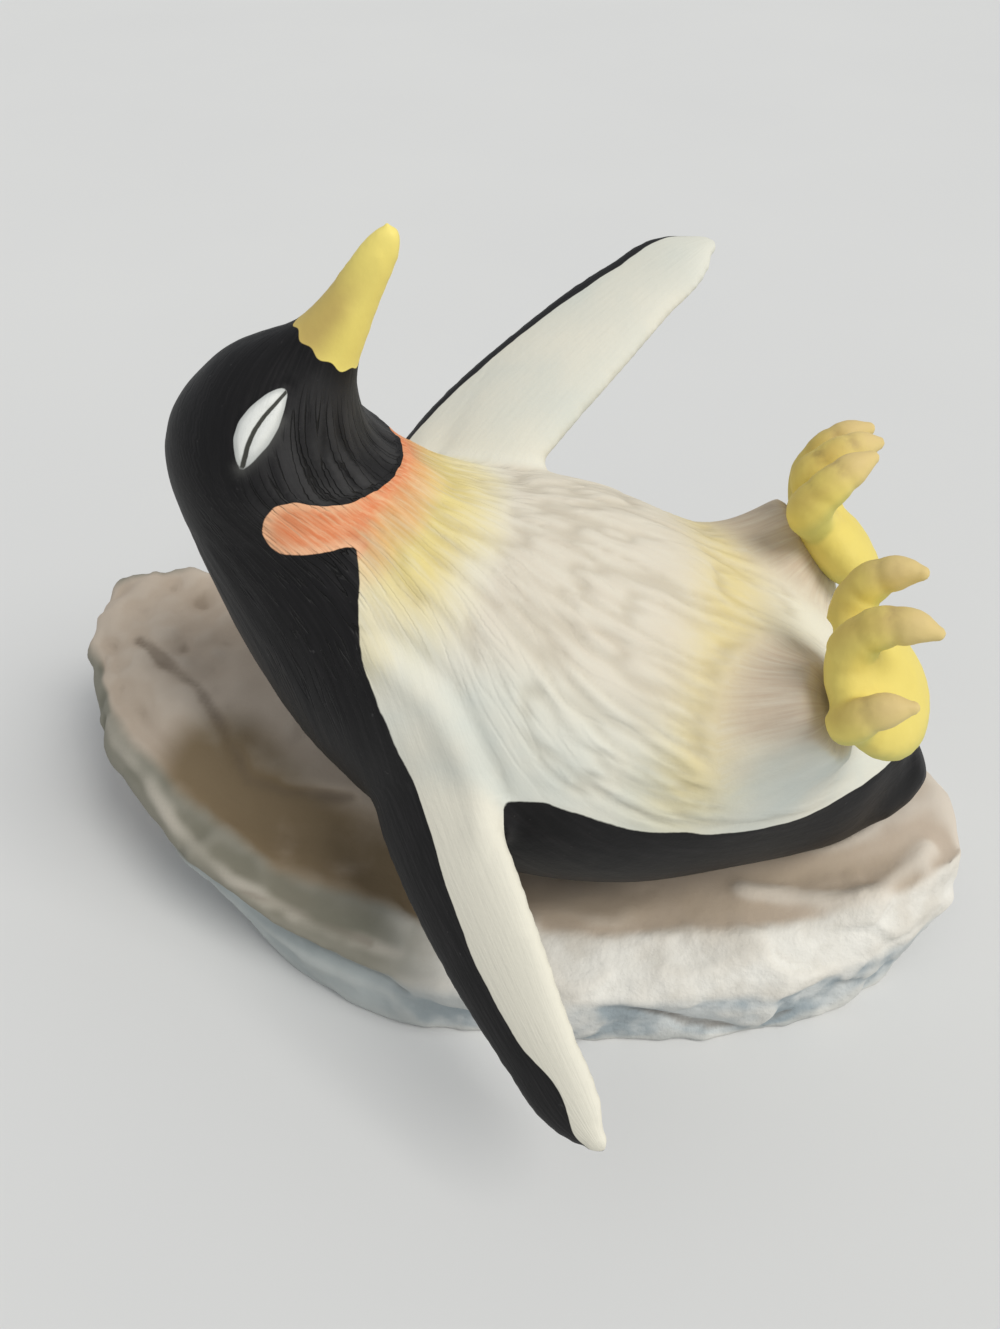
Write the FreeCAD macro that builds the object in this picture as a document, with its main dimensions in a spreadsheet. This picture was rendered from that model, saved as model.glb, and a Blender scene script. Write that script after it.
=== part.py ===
import FreeCAD, Part
import Sketcher
import os

# A small painted bisque-porcelain penguin that lies on its back on a rock.
#
# Frame: millimetres, +Z up, origin on the surface it stands on, under the bird's middle plane.
# +X runs from the bird's head to its feet, its right side faces -Y, its belly faces up.
#
# Each body form is a chain of rings. A ring is placed from the one before it: half its bend, one
# step along the ring's own Z, then the other half of the bend. A ring's X points to the bird's
# front, its Z points on along the chain. Every chain starts at a ring of the form that carries it.

SIZES = {
    # Castings
    "porcelain_wall": 3,
    "rock_wall": 4,
    "foot_grind": 0.5,
    "base_vent_radius": 3,
    "base_vent_x": -12,
    "base_vent_y": 8,
    "seat_vent_radius": 2.5,
    # Rock
    "seat_height": 19,
    "rock_middle_x": 14,
    "rock_brow_share": 0.11,
    "rock_slant": 1.5,
    "middle_near": -38.5, "middle_far": 47, "middle_under": 0,
    "middle_girth": 12, "middle_near_rise": 1.5, "middle_far_rise": 6,
    "middle_tier_inset": 0.5, "middle_tier_height": 8,
    "middle_trough": -20, "middle_trough_rise": 0.5,
    "middle_ridge": -8, "middle_ridge_rise": 1.5,
    "saddle_bay": 30, "saddle_near": -38.5, "saddle_far": 48, "saddle_under": 0,
    "saddle_girth": 14, "saddle_near_rise": 2, "saddle_far_rise": 10,
    "saddle_tier_inset": 1.5, "saddle_tier_height": 10,
    "saddle_trough": -22, "saddle_trough_rise": 0.5,
    "saddle_ridge": -10, "saddle_ridge_rise": 4,
    "left_foot_bay": 26, "left_foot_near": -29.5, "left_foot_far": 47, "left_foot_under": 0,
    "left_foot_girth": 16, "left_foot_near_rise": 2.5, "left_foot_far_rise": 15,
    "left_foot_tier_inset": 6, "left_foot_tier_height": 8,
    "left_foot_trough": -13, "left_foot_trough_rise": 1.5,
    "left_foot_ridge": -5, "left_foot_ridge_rise": 10,
    "left_slab_bay": 20, "left_slab_near": -17, "left_slab_far": 45, "left_slab_under": 10,
    "left_slab_girth": 20, "left_slab_near_rise": 7, "left_slab_far_rise": 19,
    "left_slab_tier_inset": 3, "left_slab_tier_height": 15,
    "left_slab_trough": -5, "left_slab_trough_rise": 7.5,
    "left_slab_ridge": 3, "left_slab_ridge_rise": 14,
    "left_end_bay": 16, "left_end_near": -1, "left_end_far": 41, "left_end_under": 18,
    "left_end_girth": 26, "left_end_near_rise": 12.5, "left_end_far_rise": 20,
    "left_end_tier_inset": 2, "left_end_tier_height": 22,
    "left_end_trough": 9, "left_end_trough_rise": 13,
    "left_end_ridge": 15, "left_end_ridge_rise": 17,
    "left_tip_bay": 8, "left_tip_near": 22, "left_tip_far": 36, "left_tip_under": 24,
    "left_tip_girth": 31, "left_tip_near_rise": 15, "left_tip_far_rise": 18,
    "left_tip_tier_inset": 1, "left_tip_tier_height": 28,
    "left_tip_trough": 26, "left_tip_trough_rise": 15.5,
    "left_tip_ridge": 29, "left_tip_ridge_rise": 17.5,
    "right_slab_bay": 30, "right_slab_near": -34, "right_slab_far": 41, "right_slab_under": 0,
    "right_slab_girth": 12, "right_slab_near_rise": 2.5, "right_slab_far_rise": 6,
    "right_slab_tier_inset": 0.5, "right_slab_tier_height": 8,
    "right_slab_trough": -16, "right_slab_trough_rise": 1.5,
    "right_slab_ridge": -7, "right_slab_ridge_rise": 4,
    "right_end_bay": 22, "right_end_near": -23, "right_end_far": 26, "right_end_under": 0,
    "right_end_girth": 14, "right_end_near_rise": 4.5, "right_end_far_rise": 7,
    "right_end_tier_inset": 1, "right_end_tier_height": 9,
    "right_end_trough": -11, "right_end_trough_rise": 3.5,
    "right_end_ridge": -4, "right_end_ridge_rise": 7.5,
    "right_tip_bay": 11, "right_tip_near": -11, "right_tip_far": 5, "right_tip_under": 8,
    "right_tip_girth": 17, "right_tip_near_rise": 6, "right_tip_far_rise": 7,
    "right_tip_tier_inset": 1, "right_tip_tier_height": 12,
    "right_tip_trough": -6.5, "right_tip_trough_rise": 5,
    "right_tip_ridge": -3, "right_tip_ridge_rise": 7,
    # Torso, from the belly to the neck and from the belly to the rump
    "belly_x": 15,
    "belly_slope": 12,
    "belly_radius": 31.2,
    "breast_step": 19.8, "breast_bend": 10, "breast_radius": 31.2,
    "shoulder_step": 18.8, "shoulder_bend": 19, "shoulder_radius": 26.4,
    "collar_step": 16.4, "collar_bend": 15, "collar_radius": 19.9,
    "neck_step": 11.2, "neck_bend": 17, "neck_radius": 16.2,
    "hip_step": 18.3, "hip_bend": 1.5, "hip_radius": 26.3,
    "loin_step": 12.2, "loin_bend": 5.5, "loin_radius": 20.8,
    "rump_step": 9.1, "rump_bend": 8.5, "rump_radius": 13.3,
    "rump_end_step": 6.1, "rump_end_bend": 7, "rump_end_radius": 5,
    # Head and beak
    "nape_step": 6.5, "nape_bend": 24, "nape_radius": 15.5,
    "crown_step": 5.5, "crown_bend": 20, "crown_radius": 12,
    "brow_step": 5.9, "brow_bend": 8.5, "brow_radius": 7.7,
    "beak_root_step": 5.2, "beak_root_bend": 0.5, "beak_root_radius": 5,
    "beak_bridge_step": 4.3, "beak_bridge_bend": -0.5, "beak_bridge_radius": 4.1,
    "beak_middle_step": 6.4, "beak_middle_bend": -1, "beak_middle_radius": 3,
    "beak_nail_step": 6, "beak_nail_bend": -3, "beak_nail_radius": 1.8,
    "beak_tip_step": 1.9, "beak_tip_bend": -4, "beak_tip_radius": 0.6,
    # Wings, the same casting on both sides, each set at its own angle to the shoulder
    "wing_root_chord": 14.5,
    "wing_root_thickness": 4.5,
    "wing_arm_step": 16, "wing_arm_sweep": -7, "wing_arm_curl": -2.5, "wing_arm_chord": 12,
    "wing_arm_thickness": 4,
    "wing_elbow_step": 17, "wing_elbow_sweep": -8, "wing_elbow_curl": -3, "wing_elbow_chord": 11.5,
    "wing_elbow_thickness": 3.5,
    "wing_middle_step": 17, "wing_middle_sweep": -4, "wing_middle_curl": -1, "wing_middle_chord": 10.3,
    "wing_middle_thickness": 3,
    "wing_wrist_step": 15, "wing_wrist_sweep": -3, "wing_wrist_curl": -1, "wing_wrist_chord": 8,
    "wing_wrist_thickness": 2.5,
    "wing_hand_step": 10.5, "wing_hand_sweep": -4, "wing_hand_curl": -2, "wing_hand_chord": 5.8,
    "wing_hand_thickness": 2,
    "wing_tip_step": 4.5, "wing_tip_sweep": -5, "wing_tip_curl": -2, "wing_tip_chord": 2.4,
    "wing_tip_thickness": 1.2,
    "right_wing_x": 3.8, "right_wing_y": -10.6, "right_wing_z": 3.5,
    "right_wing_yaw": 162, "right_wing_pitch": -15.5, "right_wing_roll": -127.5,
    "left_wing_x": -0.5, "left_wing_y": 7.9, "left_wing_z": 1.9,
    "left_wing_yaw": 145, "left_wing_pitch": -37, "left_wing_roll": 86.5,
    # Legs, from the hip
    "thigh_radius": 14,
    "shin_step": 12, "shin_bend": 0, "shin_radius": 13,
    "ankle_step": 13.3, "ankle_bend": 0, "ankle_radius": 11,
    "leg_x": 4.2, "leg_y": -13, "leg_z": 7.7,
    "leg_yaw": -19, "leg_pitch": 128, "leg_roll": 0,
    # Feet: a thick round sole with three toes that curl over it
    "sole_half_thickness": 6,
    "sole_half_length": 11.5,
    "sole_half_width": 11.5,
    "sole_x": 0, "sole_y": 1, "sole_z": 4,
    "sole_yaw": -25, "sole_pitch": -5, "sole_roll": 0,
    "toe_root_radius": 3.6,
    "toe_knuckle_step": 6, "toe_knuckle_bend": 30, "toe_knuckle_radius": 3.4,
    "toe_middle_step": 4.5, "toe_middle_bend": 28, "toe_middle_radius": 3,
    "toe_claw_step": 4, "toe_claw_bend": 22, "toe_claw_radius": 2.4,
    "toe_tip_step": 3, "toe_tip_bend": 10, "toe_tip_radius": 1.1,
    "inner_toe_x": -7.5, "inner_toe_y": 5.8, "inner_toe_z": -1.5,
    "inner_toe_yaw": -25, "inner_toe_pitch": -60, "inner_toe_roll": 0,
    "middle_toe_x": -8.5, "middle_toe_y": -0.8, "middle_toe_z": -0.8,
    "middle_toe_yaw": -5, "middle_toe_pitch": -42, "middle_toe_roll": 0,
    "outer_toe_x": 0.5, "outer_toe_y": -7.2, "outer_toe_z": -4.3,
    "outer_toe_yaw": 25, "outer_toe_pitch": -60, "outer_toe_roll": 0,
    # Tail, from the rump
    "tail_root_width": 14,
    "tail_root_depth": 5.5,
    "tail_cover_step": 9, "tail_cover_bend": 0, "tail_cover_width": 12, "tail_cover_depth": 4.5,
    "tail_middle_step": 8, "tail_middle_bend": -14, "tail_middle_width": 9, "tail_middle_depth": 3,
    "tail_end_step": 6, "tail_end_bend": -10, "tail_end_width": 5, "tail_end_depth": 1.6,
    "tail_x": -8, "tail_y": 0, "tail_z": 10.5,
    "tail_yaw": 0, "tail_pitch": 172, "tail_roll": 0,
}

FORWARD = ("breast", "shoulder", "collar", "neck")
REARWARD = ("hip", "loin", "rump", "rump_end")
HEAD = ("nape", "crown", "brow", "beak_root")
BEAK = ("beak_bridge", "beak_middle", "beak_nail", "beak_tip")
WING = ("wing_arm", "wing_elbow", "wing_middle", "wing_wrist", "wing_hand", "wing_tip")
TAIL = ("tail_cover", "tail_middle", "tail_end")
TOE = ("toe_knuckle", "toe_middle", "toe_claw", "toe_tip")
ROCK_LEFTWARD = ("saddle", "left_foot", "left_slab", "left_end", "left_tip")
ROCK_RIGHTWARD = ("right_slab", "right_end", "right_tip")
HOLLOW_TORSO = ("rump", "loin", "hip", "belly", "breast", "shoulder", "collar", "neck")
HOLLOW_HEAD = ("neck", "nape", "crown", "brow")
HOLLOW_ROCK = ("left_slab", "left_foot", "saddle", "middle", "right_slab", "right_end")

# Where a rock sketch's corners start, before its constraints place them
ROUGH_SECTION = (
    (-40, 0), (-40, 8), (-44, 12), (-36, 20), (-20, 19), (-8, 22), (36, 24), (44, 12), (44, 0)
)

NODES = (
    "rock_base",
    "torso",
    "head",
    "beak",
    "right_wing",
    "left_wing",
    "right_leg",
    "left_leg",
    "right_foot",
    "left_foot",
    "tail",
)

doc = FreeCAD.newDocument("penguin_on_rock")


def make_sheet():
    sheet = doc.addObject("Spreadsheet::Sheet", "sizes")
    for row, (name, value) in enumerate(SIZES.items(), start=1):
        sheet.set(f"A{row}", str(value))
        sheet.setAlias(f"A{row}", name)
    doc.recompute()


def pose(place=("0", "0", "0"), turn=("0", "0", "0")):
    """Expression of a placement: a vector, then yaw, pitch and roll in degrees."""
    return f"placement(vector({'; '.join(place)}); rotation({'; '.join(turn)}))"


def mounted(carrier, name):
    """Expression of the start of a form, set on the ring that carries it."""
    place = [f"sizes.{name}_{axis}" for axis in "xyz"]
    turn = [f"sizes.{name}_{angle}" for angle in ("yaw", "pitch", "roll")]
    return f"{carrier}.Placement * {pose(place, turn)}"


def circle(name, radius, placement):
    ring = doc.addObject("Part::Circle", name)
    ring.setExpression("Radius", radius)
    ring.setExpression("Placement", placement)
    return ring


def ellipse(name, half_width, half_thickness, placement):
    ring = doc.addObject("Part::Ellipse", name)
    ring.setExpression("MajorRadius", half_width)
    ring.setExpression("MinorRadius", half_thickness)
    ring.setExpression("Placement", placement)
    return ring


def next_pose(before, station, half_turn, way=1):
    """Expression of the next ring's placement: half the turn, one step along Z, half the turn."""
    half = pose(turn=half_turn)
    step = pose(place=("0", "0", f"{way} * sizes.{station}_step"))
    return f"{before.Name}.Placement * {half} * {step} * {half}"


def round_chain(start, stations, form="", way=1):
    """Circular rings one after the other from the ring start, along its Z or, where way is -1,
    against it. The name of a form that is made more than once goes before its rings' names."""
    rings = [start]
    for station in stations:
        half_bend = ("0", f"{way} * sizes.{station}_bend / 2", "0")
        placement = next_pose(rings[-1], station, half_bend, way)
        rings.append(circle(f"{form}{station}_ring", f"sizes.{station}_radius", placement))
    return rings


def wing_chain(start, form, side):
    """Elliptical rings of a wing, wide along X. side is -1 where the curl is mirrored."""
    rings = [start]
    for station in WING:
        half_turn = ("0", f"sizes.{station}_sweep / 2", f"{side} * sizes.{station}_curl / 2")
        placement = next_pose(rings[-1], station, half_turn)
        chord = f"sizes.{station}_chord"
        thickness = f"sizes.{station}_thickness"
        rings.append(ellipse(f"{form}_{station}_ring", chord, thickness, placement))
    return rings


def tail_chain(start):
    """Elliptical rings of the tail, wide across the bird."""
    rings = [start]
    for station in TAIL:
        placement = next_pose(rings[-1], station, ("0", "0", f"sizes.{station}_bend / 2"))
        width = f"sizes.{station}_width"
        rings.append(ellipse(f"{station}_ring", width, f"sizes.{station}_depth", placement))
    return rings


def loft(name, sections, ruled=False):
    form = doc.addObject("Part::Loft", name)
    form.Sections = sections
    form.Solid = True
    form.Ruled = ruled
    return form


def cut(name, base, tool):
    result = doc.addObject("Part::Cut", name)
    result.Base = base
    result.Tool = tool
    return result


def fuse(name, shapes):
    result = doc.addObject("Part::MultiFuse", name)
    result.Shapes = shapes
    return result


def mirror(name, source):
    """The same piece on the other side of the bird's middle plane."""
    result = doc.addObject("Part::Mirroring", name)
    result.Source = source
    result.Base = FreeCAD.Vector(0, 0, 0)
    result.Normal = FreeCAD.Vector(0, 1, 0)
    return result


def offset_form(name, stations, change):
    """The form through the named stations' rings, with every radius changed by the same size."""
    rings = []
    for station in stations:
        ring = f"{station}_ring"
        placement = f"{ring}.Placement"
        rings.append(circle(f"{name}_{station}", f"{ring}.Radius {change} * 1 mm", placement))
    return loft(name, rings)


def make_torso_form():
    """Outer form of the torso. Its lowest point lies at the height of the seat."""
    height = "sizes.seat_height + sizes.belly_radius * cos(sizes.belly_slope)"
    place = ("sizes.belly_x", "0", height)
    turn = ("0", "sizes.belly_slope - 90", "0")
    belly = circle("belly_ring", "sizes.belly_radius", pose(place, turn))
    forward = round_chain(belly, FORWARD)
    rearward = round_chain(belly, REARWARD, way=-1)
    return loft("torso_form", rearward[:0:-1] + forward)


def make_head_form():
    rings = round_chain(doc.neck_ring, HEAD)
    return loft("head_form", rings)


def make_beak():
    rings = round_chain(doc.beak_root_ring, BEAK)
    loft("beak", rings)


def make_seat_vent():
    """Upright hole through the seat, which joins the hollow of the bird to that of the rock."""
    vent = doc.addObject("Part::Cylinder", "seat_vent")
    vent.setExpression("Radius", "sizes.seat_vent_radius")
    vent.setExpression("Height", "2 * (sizes.rock_wall + sizes.porcelain_wall)")
    bottom_x = "sizes.belly_x - sizes.belly_radius * sin(sizes.belly_slope)"
    bottom_z = "sizes.seat_height - sizes.rock_wall - sizes.porcelain_wall"
    vent.setExpression("Placement", pose((bottom_x, "0", bottom_z)))
    return vent


def make_torso(torso_form, seat_vent):
    hollow = offset_form("torso_hollow", HOLLOW_TORSO, "- sizes.porcelain_wall")
    cut("torso", cut("torso_shell", torso_form, hollow), seat_vent)


def make_head(head_form):
    hollow = offset_form("head_hollow", HOLLOW_HEAD, "- sizes.porcelain_wall")
    cut("head", head_form, hollow)


def make_wing(name, side, torso_form, head_form):
    """A flat tapering wing, trimmed where it meets the body. side is -1 on the bird's left."""
    placement = mounted("shoulder_ring", name)
    chord = "sizes.wing_root_chord"
    root = ellipse(f"{name}_root_ring", chord, "sizes.wing_root_thickness", placement)
    form = loft(f"{name}_form", wing_chain(root, name, side))
    cut(name, cut(f"{name}_off_torso", form, torso_form), head_form)


def make_leg(torso_form):
    """The feathered right leg, trimmed where it leaves the torso."""
    thigh = circle("thigh_ring", "sizes.thigh_radius", mounted("hip_ring", "leg"))
    form = loft("leg_form", round_chain(thigh, ("shin", "ankle")))
    mirror("left_leg", cut("right_leg", form, torso_form))
    return form


def make_toe(name):
    root = circle(f"{name}_root_ring", "sizes.toe_root_radius", mounted("sole", name))
    return loft(name, round_chain(root, TOE, f"{name}_"))


def make_feet(leg_form):
    """The right foot, its sole and toes in one, seated on the end of the leg, and its mirror."""
    sole = doc.addObject("Part::Ellipsoid", "sole")
    sole.setExpression("Radius1", "sizes.sole_half_thickness")
    sole.setExpression("Radius2", "sizes.sole_half_length")
    sole.setExpression("Radius3", "sizes.sole_half_width")
    sole.setExpression("Placement", mounted("ankle_ring", "sole"))
    toes = [make_toe(name) for name in ("inner_toe", "middle_toe", "outer_toe")]
    mirror("left_foot", cut("right_foot", fuse("foot_form", [sole] + toes), leg_form))


def make_tail(torso_form):
    """The short flat tail, trimmed where it leaves the rump."""
    placement = f"{mounted('rump_ring', 'tail')} * {pose(turn=('90', '0', '0'))}"
    root = ellipse("tail_root_ring", "sizes.tail_root_width", "sizes.tail_root_depth", placement)
    form = loft("tail_form", tail_chain(root))
    cut("tail", form, torso_form)
    return form


def rock_outline(station, wall):
    """Corners of an upright cut through the rock, drawn in by a wall: each a Y and a height.
    They run from the near foot over its tier, the girth, the near brow, the trough before the
    bird, the ridge beside it and the far brow to the far foot.
    The rock's sides slant, so across the rock the wall takes more than its own thickness."""
    near = f"sizes.{station}_near"
    far = f"sizes.{station}_far"
    side = f"sizes.rock_slant * {wall}"
    brow = f"({far} - {near}) * sizes.rock_brow_share + {side}"
    tier = f"{near} + sizes.{station}_tier_inset + {side}"
    bottom = f"sizes.{station}_under - sizes.foot_grind + {wall}"
    girth = f"sizes.{station}_girth"
    crest = f"sizes.seat_height - {wall} + sizes.{station}"
    return (
        (tier, bottom),
        (tier, f"sizes.{station}_tier_height + {wall} / 2"),
        (f"{near} + {side}", girth),
        (f"{near} + {brow}", f"{crest}_near_rise"),
        (f"sizes.{station}_trough + {side} / 2", f"{crest}_trough_rise"),
        (f"sizes.{station}_ridge + {side} / 2", f"{crest}_ridge_rise"),
        (f"{far} - ({brow})", f"{crest}_far_rise"),
        (f"{far} - {side}", girth),
        (f"{far} - {side}", bottom),
    )


def rock_section(name, placement, corners):
    """A closed sketch through the corners, which stands across the rock."""
    sketch = doc.addObject("Sketcher::SketchObject", name)
    sketch.setExpression("Placement", placement)
    count = len(corners)
    for index in range(count):
        start = FreeCAD.Vector(*ROUGH_SECTION[index], 0)
        end = FreeCAD.Vector(*ROUGH_SECTION[(index + 1) % count], 0)
        sketch.addGeometry(Part.LineSegment(start, end))
    for index in range(count):
        sketch.addConstraint(Sketcher.Constraint("Coincident", index, 2, (index + 1) % count, 1))
    for index, (across, height) in enumerate(corners):
        for kind, value, letter in (("DistanceX", across, "y"), ("DistanceY", height, "z")):
            number = sketch.addConstraint(Sketcher.Constraint(kind, index, 1, 1.0))
            sketch.renameConstraint(number, f"corner_{index}_{letter}")
            sketch.setExpression(f"Constraints.corner_{index}_{letter}", value)
    return sketch


def make_rock_form():
    """The outer rock: one faceted loft through upright cuts, from its left tip to its right."""
    upright = pose(("sizes.rock_middle_x", "0", "0"), ("90", "0", "90"))
    sections = [rock_section("middle_section", upright, rock_outline("middle", "0"))]
    for stations, way in ((ROCK_LEFTWARD, -1), (ROCK_RIGHTWARD, 1)):
        before = "middle_section"
        for station in stations:
            bay = pose(place=("0", "0", f"{way} * sizes.{station}_bay"))
            placement = f"{before}.Placement * {bay}"
            before = f"{station}_section"
            section = rock_section(before, placement, rock_outline(station, "0"))
            sections.insert(0 if way < 0 else len(sections), section)
    return loft("rock_form", sections, ruled=True)


def make_grindstone():
    """The flat that the rock's foot is ground on: a slab whose top is the table it stands on."""
    reach = " + ".join(f"sizes.{station}_bay" for station in ROCK_LEFTWARD)
    slab = doc.addObject("Part::Box", "grindstone")
    slab.setExpression("Length", f"2 * ({reach})")
    slab.setExpression("Width", f"2 * ({reach})")
    slab.setExpression("Height", "2 * sizes.foot_grind")
    corner = (f"sizes.rock_middle_x - ({reach})", f"-({reach})", "-2 * sizes.foot_grind")
    slab.setExpression("Placement", pose(corner))
    return slab


def make_rock(torso_form, tail_form, seat_vent):
    """The hollow rock, with the bird's back as its seat and a vent in its flat ground foot."""
    ground_form = cut("rock_ground", make_rock_form(), make_grindstone())
    wall = "sizes.rock_wall"
    sections = []
    for station in HOLLOW_ROCK:
        placement = f"{station}_section.Placement"
        sections.append(rock_section(f"hollow_{station}", placement, rock_outline(station, wall)))
    core = loft("rock_core", sections, ruled=True)
    lining = offset_form("seat_lining", HOLLOW_TORSO, "+ sizes.rock_wall")
    hollow = cut("rock_hollow", core, lining)
    base_vent = doc.addObject("Part::Cylinder", "base_vent")
    base_vent.setExpression("Radius", "sizes.base_vent_radius")
    base_vent.setExpression("Height", "2 * sizes.rock_wall")
    place = ("sizes.base_vent_x", "sizes.base_vent_y", "-sizes.rock_wall / 2")
    base_vent.setExpression("Placement", pose(place))
    seat = cut("rock_seat", cut("rock_under_torso", ground_form, torso_form), tail_form)
    cut("rock_base", cut("rock_shell", cut("rock_vented", seat, base_vent), hollow), seat_vent)


def make_model():
    make_sheet()
    torso_form = make_torso_form()
    head_form = make_head_form()
    seat_vent = make_seat_vent()
    make_torso(torso_form, seat_vent)
    make_head(head_form)
    make_beak()
    make_wing("right_wing", 1, torso_form, head_form)
    make_wing("left_wing", -1, torso_form, head_form)
    leg_form = make_leg(torso_form)
    make_feet(leg_form)
    tail_form = make_tail(torso_form)
    make_rock(torso_form, tail_form, seat_vent)
    doc.recompute()


def check_model():
    for item in doc.Objects:
        faults = {"Invalid", "Error"} & set(item.State)
        if faults:
            raise RuntimeError(f"{item.Label} did not build: {item.getStatusString()}")
    for node in NODES:
        shape = doc.getObject(node).Shape
        if shape.isNull() or not shape.isValid() or len(shape.Solids) != 1:
            raise RuntimeError(f"{node} is not one valid solid")


def export_model():
    os.makedirs("parts", exist_ok=True)
    for node in NODES:
        doc.getObject(node).Shape.exportStep(os.path.join("parts", f"{node}.step"))


make_model()
check_model()
export_model()
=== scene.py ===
"""A bisque porcelain penguin asleep on its back on a low rock, wings spread, feet in the air."""

import itertools
import math

import bpy
import numpy as np
from mathutils import Euler, Matrix, Vector
from mathutils.bvhtree import BVHTree


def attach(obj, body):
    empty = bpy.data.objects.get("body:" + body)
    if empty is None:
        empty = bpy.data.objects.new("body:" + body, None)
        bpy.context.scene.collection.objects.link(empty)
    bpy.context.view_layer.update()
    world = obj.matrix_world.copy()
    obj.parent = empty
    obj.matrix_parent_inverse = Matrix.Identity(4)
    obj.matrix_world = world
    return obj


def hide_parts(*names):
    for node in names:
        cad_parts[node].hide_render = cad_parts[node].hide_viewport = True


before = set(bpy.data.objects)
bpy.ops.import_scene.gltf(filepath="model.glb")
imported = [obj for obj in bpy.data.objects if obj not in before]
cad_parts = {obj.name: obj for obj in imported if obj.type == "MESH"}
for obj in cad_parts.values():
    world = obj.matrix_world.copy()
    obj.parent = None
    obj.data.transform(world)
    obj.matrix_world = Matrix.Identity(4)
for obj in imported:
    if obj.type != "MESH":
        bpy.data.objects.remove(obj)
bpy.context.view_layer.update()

# All forms are worked out in millimetres, X from head to feet, -Y towards the viewer, Z up.
MM = 0.001
# A distance that nothing on the figurine reaches, and a length too small to matter
FAR, TINY = 99, 1e-9


# ---- numbers along lines

def smooth_rows(knots, rows, at):
    """Smooth curve through the rows at the knots, read at the places at."""
    knots, rows = np.asarray(knots, float), np.asarray(rows, float)
    slopes = np.gradient(rows, knots, axis=0)
    index = np.clip(np.searchsorted(knots, at, side="right") - 1, 0, len(knots) - 2)
    span = knots[index + 1] - knots[index]
    share = np.clip((at - knots[index]) / span, 0, 1)
    if rows.ndim > 1:
        span, share = span[:, None], share[:, None]
    a, b = rows[index], rows[index + 1]
    ta, tb = slopes[index] * span, slopes[index + 1] * span
    return (a * (1 + 2 * share) * (1 - share) ** 2 + b * share ** 2 * (3 - 2 * share)
            + ta * share * (1 - share) ** 2 + tb * share ** 2 * (share - 1))


def ramp(x, low, high):
    """0 below low, 1 above high, smooth between; low may be the larger."""
    t = np.clip((x - low) / (high - low), 0, 1)
    return t * t * (3 - 2 * t)


def bell(x, width):
    """1 where x is 0, falling smoothly to nothing within a few widths."""
    return np.exp(-(x / width) ** 2)


def unit(v):
    return v / np.maximum(np.linalg.norm(v, axis=-1, keepdims=True), TINY)


def path_gap(points, path):
    """Distance of each point from an open line, in the plane or in space."""
    nearest = np.full(len(points), np.inf)
    for a, b in zip(np.array(path[:-1], float), np.array(path[1:], float)):
        t = np.clip(((points - a) @ (b - a)) / ((b - a) @ (b - a)), 0, 1)
        gap = np.linalg.norm(points - a - t[:, None] * (b - a), axis=1)
        nearest = np.minimum(nearest, gap)
    return nearest


def outline_depth(points, outline):
    """How deep each point of the plane lies inside a closed outline, negative outside it."""
    corners = np.asarray(outline, float)
    x, y = points.T
    inside = np.zeros(len(x), bool)
    for (ax, ay), (bx, by) in zip(corners, np.roll(corners, -1, axis=0)):
        crosses = (ay > y) != (by > y)
        inside ^= crosses & (x < ax + (y - ay) / np.where(by == ay, TINY, by - ay) * (bx - ax))
    nearest = path_gap(points, [*corners, corners[0]])
    return np.where(inside, nearest, -nearest)


def lattice(ix, iy, iz, seed):
    """A steady pseudo-random number in -1..1 for each lattice point."""
    n = (ix * 73856093) ^ (iy * 19349663) ^ (iz * 83492791) ^ (seed * 40503 + 977)
    n = n & 0x7FFFFFFF
    n = ((n ^ (n >> 13)) * 1274126177) & 0x7FFFFFFF
    n = ((n ^ (n >> 15)) * 668265263) & 0x7FFFFFFF
    return (n & 0xFFFFF) / 524287.5 - 1


def noise(points, seed=0):
    """Smooth noise in about -1..1 with a grain of one unit."""
    p = np.asarray(points, float)
    if p.shape[1] == 2:
        p = np.column_stack([p, np.full(len(p), 0.37)])
    cell = np.floor(p).astype(np.int64)
    f = p - cell
    f = f * f * f * (f * (f * 6 - 15) + 10)
    total = np.zeros(len(p))
    for corner in range(8):
        dx, dy, dz = corner & 1, corner >> 1 & 1, corner >> 2
        weight = (np.where(dx, f[:, 0], 1 - f[:, 0]) * np.where(dy, f[:, 1], 1 - f[:, 1])
                  * np.where(dz, f[:, 2], 1 - f[:, 2]))
        total += weight * lattice(cell[:, 0] + dx, cell[:, 1] + dy, cell[:, 2] + dz, seed)
    return total


def layered(points, seed=0, octaves=3):
    """Noise of several grains, each half the last."""
    p = np.asarray(points, float)
    return sum(noise(p * 2 ** k + 11.3 * k, seed + k) / 2 ** k for k in range(octaves))


# ---- swept forms

def turned(yaw, pitch, roll):
    """A turn about Z, then Y, then X, in degrees."""
    return Euler([math.radians(a) for a in (roll, pitch, yaw)], "XYZ").to_matrix().to_4x4()


def stepped(ring, step, turn):
    """The next ring's place: half the turn, a step along Z, half the turn."""
    half = turned(*[a / 2 for a in turn])
    return ring @ half @ Matrix.Translation((0, 0, step)) @ half


def walls(count, sides):
    """The faces between rings of points, each ring's point, its next and the two beyond."""
    for i, j in itertools.product(range(count - 1), range(sides)):
        k = (j + 1) % sides
        yield i * sides + j, i * sides + k, (i + 1) * sides + k, (i + 1) * sides + j


def closed(rings, low, high):
    """Points and faces of a form through rings of points, each end closed at one point."""
    count, sides = rings.shape[:2]
    faces = list(walls(count, sides))
    last, bottom, top = (count - 1) * sides, count * sides, count * sides + 1
    for j in range(sides):
        k = (j + 1) % sides
        faces += [(bottom, k, j), (top, last + j, last + k)]
    return np.vstack([rings.reshape(-1, 3), low, high]), faces


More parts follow.
